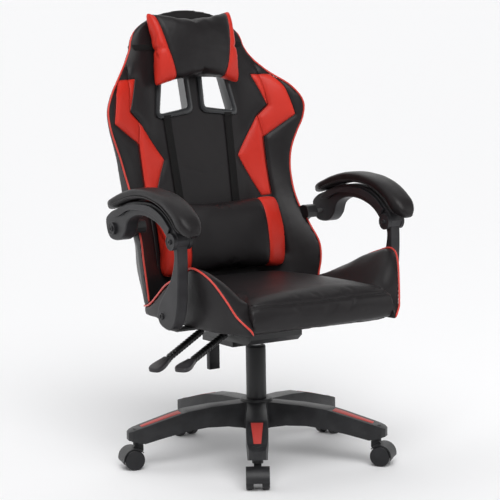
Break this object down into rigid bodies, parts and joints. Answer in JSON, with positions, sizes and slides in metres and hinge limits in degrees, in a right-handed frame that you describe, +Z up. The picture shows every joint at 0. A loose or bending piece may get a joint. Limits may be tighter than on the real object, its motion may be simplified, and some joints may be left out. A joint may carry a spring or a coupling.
{
  "type": "gaming chair",
  "caption": "Racing-style swivel chair: bucket back and seat, two loose pillows, linked padded arms, tilt mechanism, gas column and five-legged caster base.",
  "frame": {"origin": "on the floor, straight under the gas column's axis", "axes": "+Z up, the chair faces -Y, +X to the sitter's left"},
  "size_m": [0.6855, 0.6641, 1.1136],
  "materials": {
    "nylon_black": "fine-textured moulded nylon",
    "insert_red": "hatched soft-touch insert",
    "steel_black": "black powder coat",
    "steel_bright": "zinc plated",
    "wheel_black": "smooth nylon tread",
    "plastic_black": "satin moulded plastic",
    "rubber_black": "matt corrugated sleeve",
    "leather_black": "fine-grained synthetic leather, satin",
    "leather_red": "fine-grained synthetic leather, satin",
    "webbing_black": "woven webbing",
    "board": "plywood under black cloth"
  },
  "bodies": {
    "base": {"star_base": "nylon_black", "leg_inserts": "insert_red", "column_tube": "steel_black", "column_bush": "nylon_black"},
    "spindle": {"piston_rod": "steel_bright", "thrust_bearing": "steel_bright", "rod_clip": "steel_bright"},
    "lift": {"gas_cylinder": "steel_bright", "tilt_housing": "steel_black", "tilt_pin": "steel_bright", "tilt_spring": "steel_black"},
    "height_lever": {"lift_lever_rod": "steel_bright", "lift_lever_sleeve": "rubber_black", "lift_lever_paddle": "plastic_black"},
    "lock_lever": {"lock_lever_rod": "steel_bright", "lock_lever_sleeve": "rubber_black", "lock_lever_paddle": "plastic_black"},
    "tension": {"tension_screw": "steel_bright", "tension_grip": "plastic_black"},
    "seat": {"seat_plate": "steel_black", "seat_board": "board", "seat_bolts": "steel_bright", "seat_cushion": "leather_black", "seat_bolster_left": "leather_black", "seat_bolster_right": "leather_black", "seat_bracket_left": "steel_black", "seat_bracket_right": "steel_black"},
    "back": {"back_pad": "leather_black", "back_frame": "steel_black", "opening_rings": "plastic_black", "lumbar_straps": "webbing_black", "head_pillow": "leather_black", "head_strap": "webbing_black", "back_hinge_plates": "steel_black"},
    "lumbar": {"lumbar_pillow": "leather_black"},
    "left_post": {"left_post": "plastic_black", "left_post_pin": "steel_bright"},
    "left_arm": {"left_link": "plastic_black", "left_pad": "leather_black", "left_pins": "steel_bright"},
    "right_post": {"right_post": "plastic_black", "right_post_pin": "steel_bright"},
    "right_arm": {"right_link": "plastic_black", "right_pad": "leather_black", "right_pins": "steel_bright"},
    "caster_1": {"caster_fork_1": "nylon_black", "caster_stem_1": "steel_bright"},
    "wheels_1": {"caster_wheels_1": "wheel_black"},
    "caster_2": {"caster_fork_2": "nylon_black", "caster_stem_2": "steel_bright"},
    "wheels_2": {"caster_wheels_2": "wheel_black"},
    "caster_3": {"caster_fork_3": "nylon_black", "caster_stem_3": "steel_bright"},
    "wheels_3": {"caster_wheels_3": "wheel_black"},
    "caster_4": {"caster_fork_4": "nylon_black", "caster_stem_4": "steel_bright"},
    "wheels_4": {"caster_wheels_4": "wheel_black"},
    "caster_5": {"caster_fork_5": "nylon_black", "caster_stem_5": "steel_bright"},
    "wheels_5": {"caster_wheels_5": "wheel_black"}
  },
  "joints": [
    {"name": "seat_swivel", "type": "hinge", "parent": "base", "child": "spindle", "pos_m": [0, 0, 0.07], "axis": [0, 0, 1], "continuous": true},
    {"name": "gas_lift", "type": "slide", "parent": "spindle", "child": "lift", "axis": [0, 0, 1], "range_m": [0, 0.09]},
    {"name": "seat_tilt", "type": "hinge", "parent": "lift", "child": "seat", "pos_m": [0, -0.055, 0.345], "axis": [-1, 0, 0], "range_deg": [0, 12], "stiffness_Nm_per_rad": 120, "springref_deg": -25.78, "deforming": ["tilt_spring"]},
    {"name": "back_recline", "type": "hinge", "parent": "seat", "child": "back", "pos_m": [0, 0.187, 0.407], "axis": [-1, 0, 0], "range_deg": [0, 43]},
    {"name": "left_post_pivot", "type": "hinge", "parent": "seat", "child": "left_post", "pos_m": [0, -0.093, 0.402], "axis": [-1, 0, 0], "range_deg": [0, 43]},
    {"name": "left_arm_pivot", "type": "hinge", "parent": "left_post", "child": "left_arm", "pos_m": [0, -0.155, 0.585], "axis": [-1, 0, 0], "range_deg": [-43, 0]},
    {"name": "right_post_pivot", "type": "hinge", "parent": "seat", "child": "right_post", "pos_m": [0, -0.093, 0.402], "axis": [-1, 0, 0], "range_deg": [0, 43]},
    {"name": "right_arm_pivot", "type": "hinge", "parent": "right_post", "child": "right_arm", "pos_m": [0, -0.155, 0.585], "axis": [-1, 0, 0], "range_deg": [-43, 0]},
    {"name": "lumbar_slide", "type": "slide", "parent": "back", "child": "lumbar", "axis": [0, 0.2079, 0.9781], "range_m": [0, 0.12]},
    {"name": "height_lever_lift", "type": "hinge", "parent": "lift", "child": "height_lever", "pos_m": [-0.0735, 0.063, 0.324], "axis": [0, 1, 0], "range_deg": [0, 8], "stiffness_Nm_per_rad": 6, "springref_deg": -11.46},
    {"name": "lock_lever_lift", "type": "hinge", "parent": "lift", "child": "lock_lever", "pos_m": [-0.0735, -0.017, 0.324], "axis": [0, 1, 0], "range_deg": [0, 8], "stiffness_Nm_per_rad": 6, "springref_deg": -11.46},
    {"name": "tension_turn", "type": "hinge", "parent": "lift", "child": "tension", "pos_m": [0, 0.201, 0.28], "axis": [0, 0, 1], "continuous": true},
    {"name": "caster_swivel_1", "type": "hinge", "parent": "base", "child": "caster_1", "pos_m": [-0.16666, -0.25663, 0.06], "axis": [0, 0, 1], "continuous": true},
    {"name": "wheel_spin_1", "type": "hinge", "parent": "caster_1", "child": "wheels_1", "pos_m": [-0.17537, -0.27005, 0.025], "axis": [0.8387, -0.5446, 0], "continuous": true},
    {"name": "caster_swivel_2", "type": "hinge", "parent": "base", "child": "caster_2", "pos_m": [0.19257, -0.23781, 0.06], "axis": [0, 0, 1], "continuous": true},
    {"name": "wheel_spin_2", "type": "hinge", "parent": "caster_2", "child": "wheels_2", "pos_m": [0.20264, -0.25024, 0.025], "axis": [0.7771, 0.6293, 0], "continuous": true},
    {"name": "caster_swivel_3", "type": "hinge", "parent": "base", "child": "caster_3", "pos_m": [0.28568, 0.10966, 0.06], "axis": [0, 0, 1], "continuous": true},
    {"name": "wheel_spin_3", "type": "hinge", "parent": "caster_3", "child": "wheels_3", "pos_m": [0.30061, 0.11539, 0.025], "axis": [-0.3584, 0.9336, 0], "continuous": true},
    {"name": "caster_swivel_4", "type": "hinge", "parent": "base", "child": "caster_4", "pos_m": [-0.01602, 0.30558, 0.06], "axis": [0, 0, 1], "continuous": true},
    {"name": "wheel_spin_4", "type": "hinge", "parent": "caster_4", "child": "wheels_4", "pos_m": [-0.01685, 0.32156, 0.025], "axis": [-0.9986, -0.0523, 0], "continuous": true},
    {"name": "caster_swivel_5", "type": "hinge", "parent": "base", "child": "caster_5", "pos_m": [-0.29557, 0.0792, 0.06], "axis": [0, 0, 1], "continuous": true},
    {"name": "wheel_spin_5", "type": "hinge", "parent": "caster_5", "child": "wheels_5", "pos_m": [-0.31103, 0.08334, 0.025], "axis": [-0.2588, -0.9659, 0], "continuous": true}
  ],
  "couplings": [
    {"joint": "left_post_pivot", "follows": "back_recline", "ratio": 1},
    {"joint": "left_arm_pivot", "follows": "back_recline", "ratio": -1},
    {"joint": "right_post_pivot", "follows": "back_recline", "ratio": 1},
    {"joint": "right_arm_pivot", "follows": "back_recline", "ratio": -1}
  ]
}
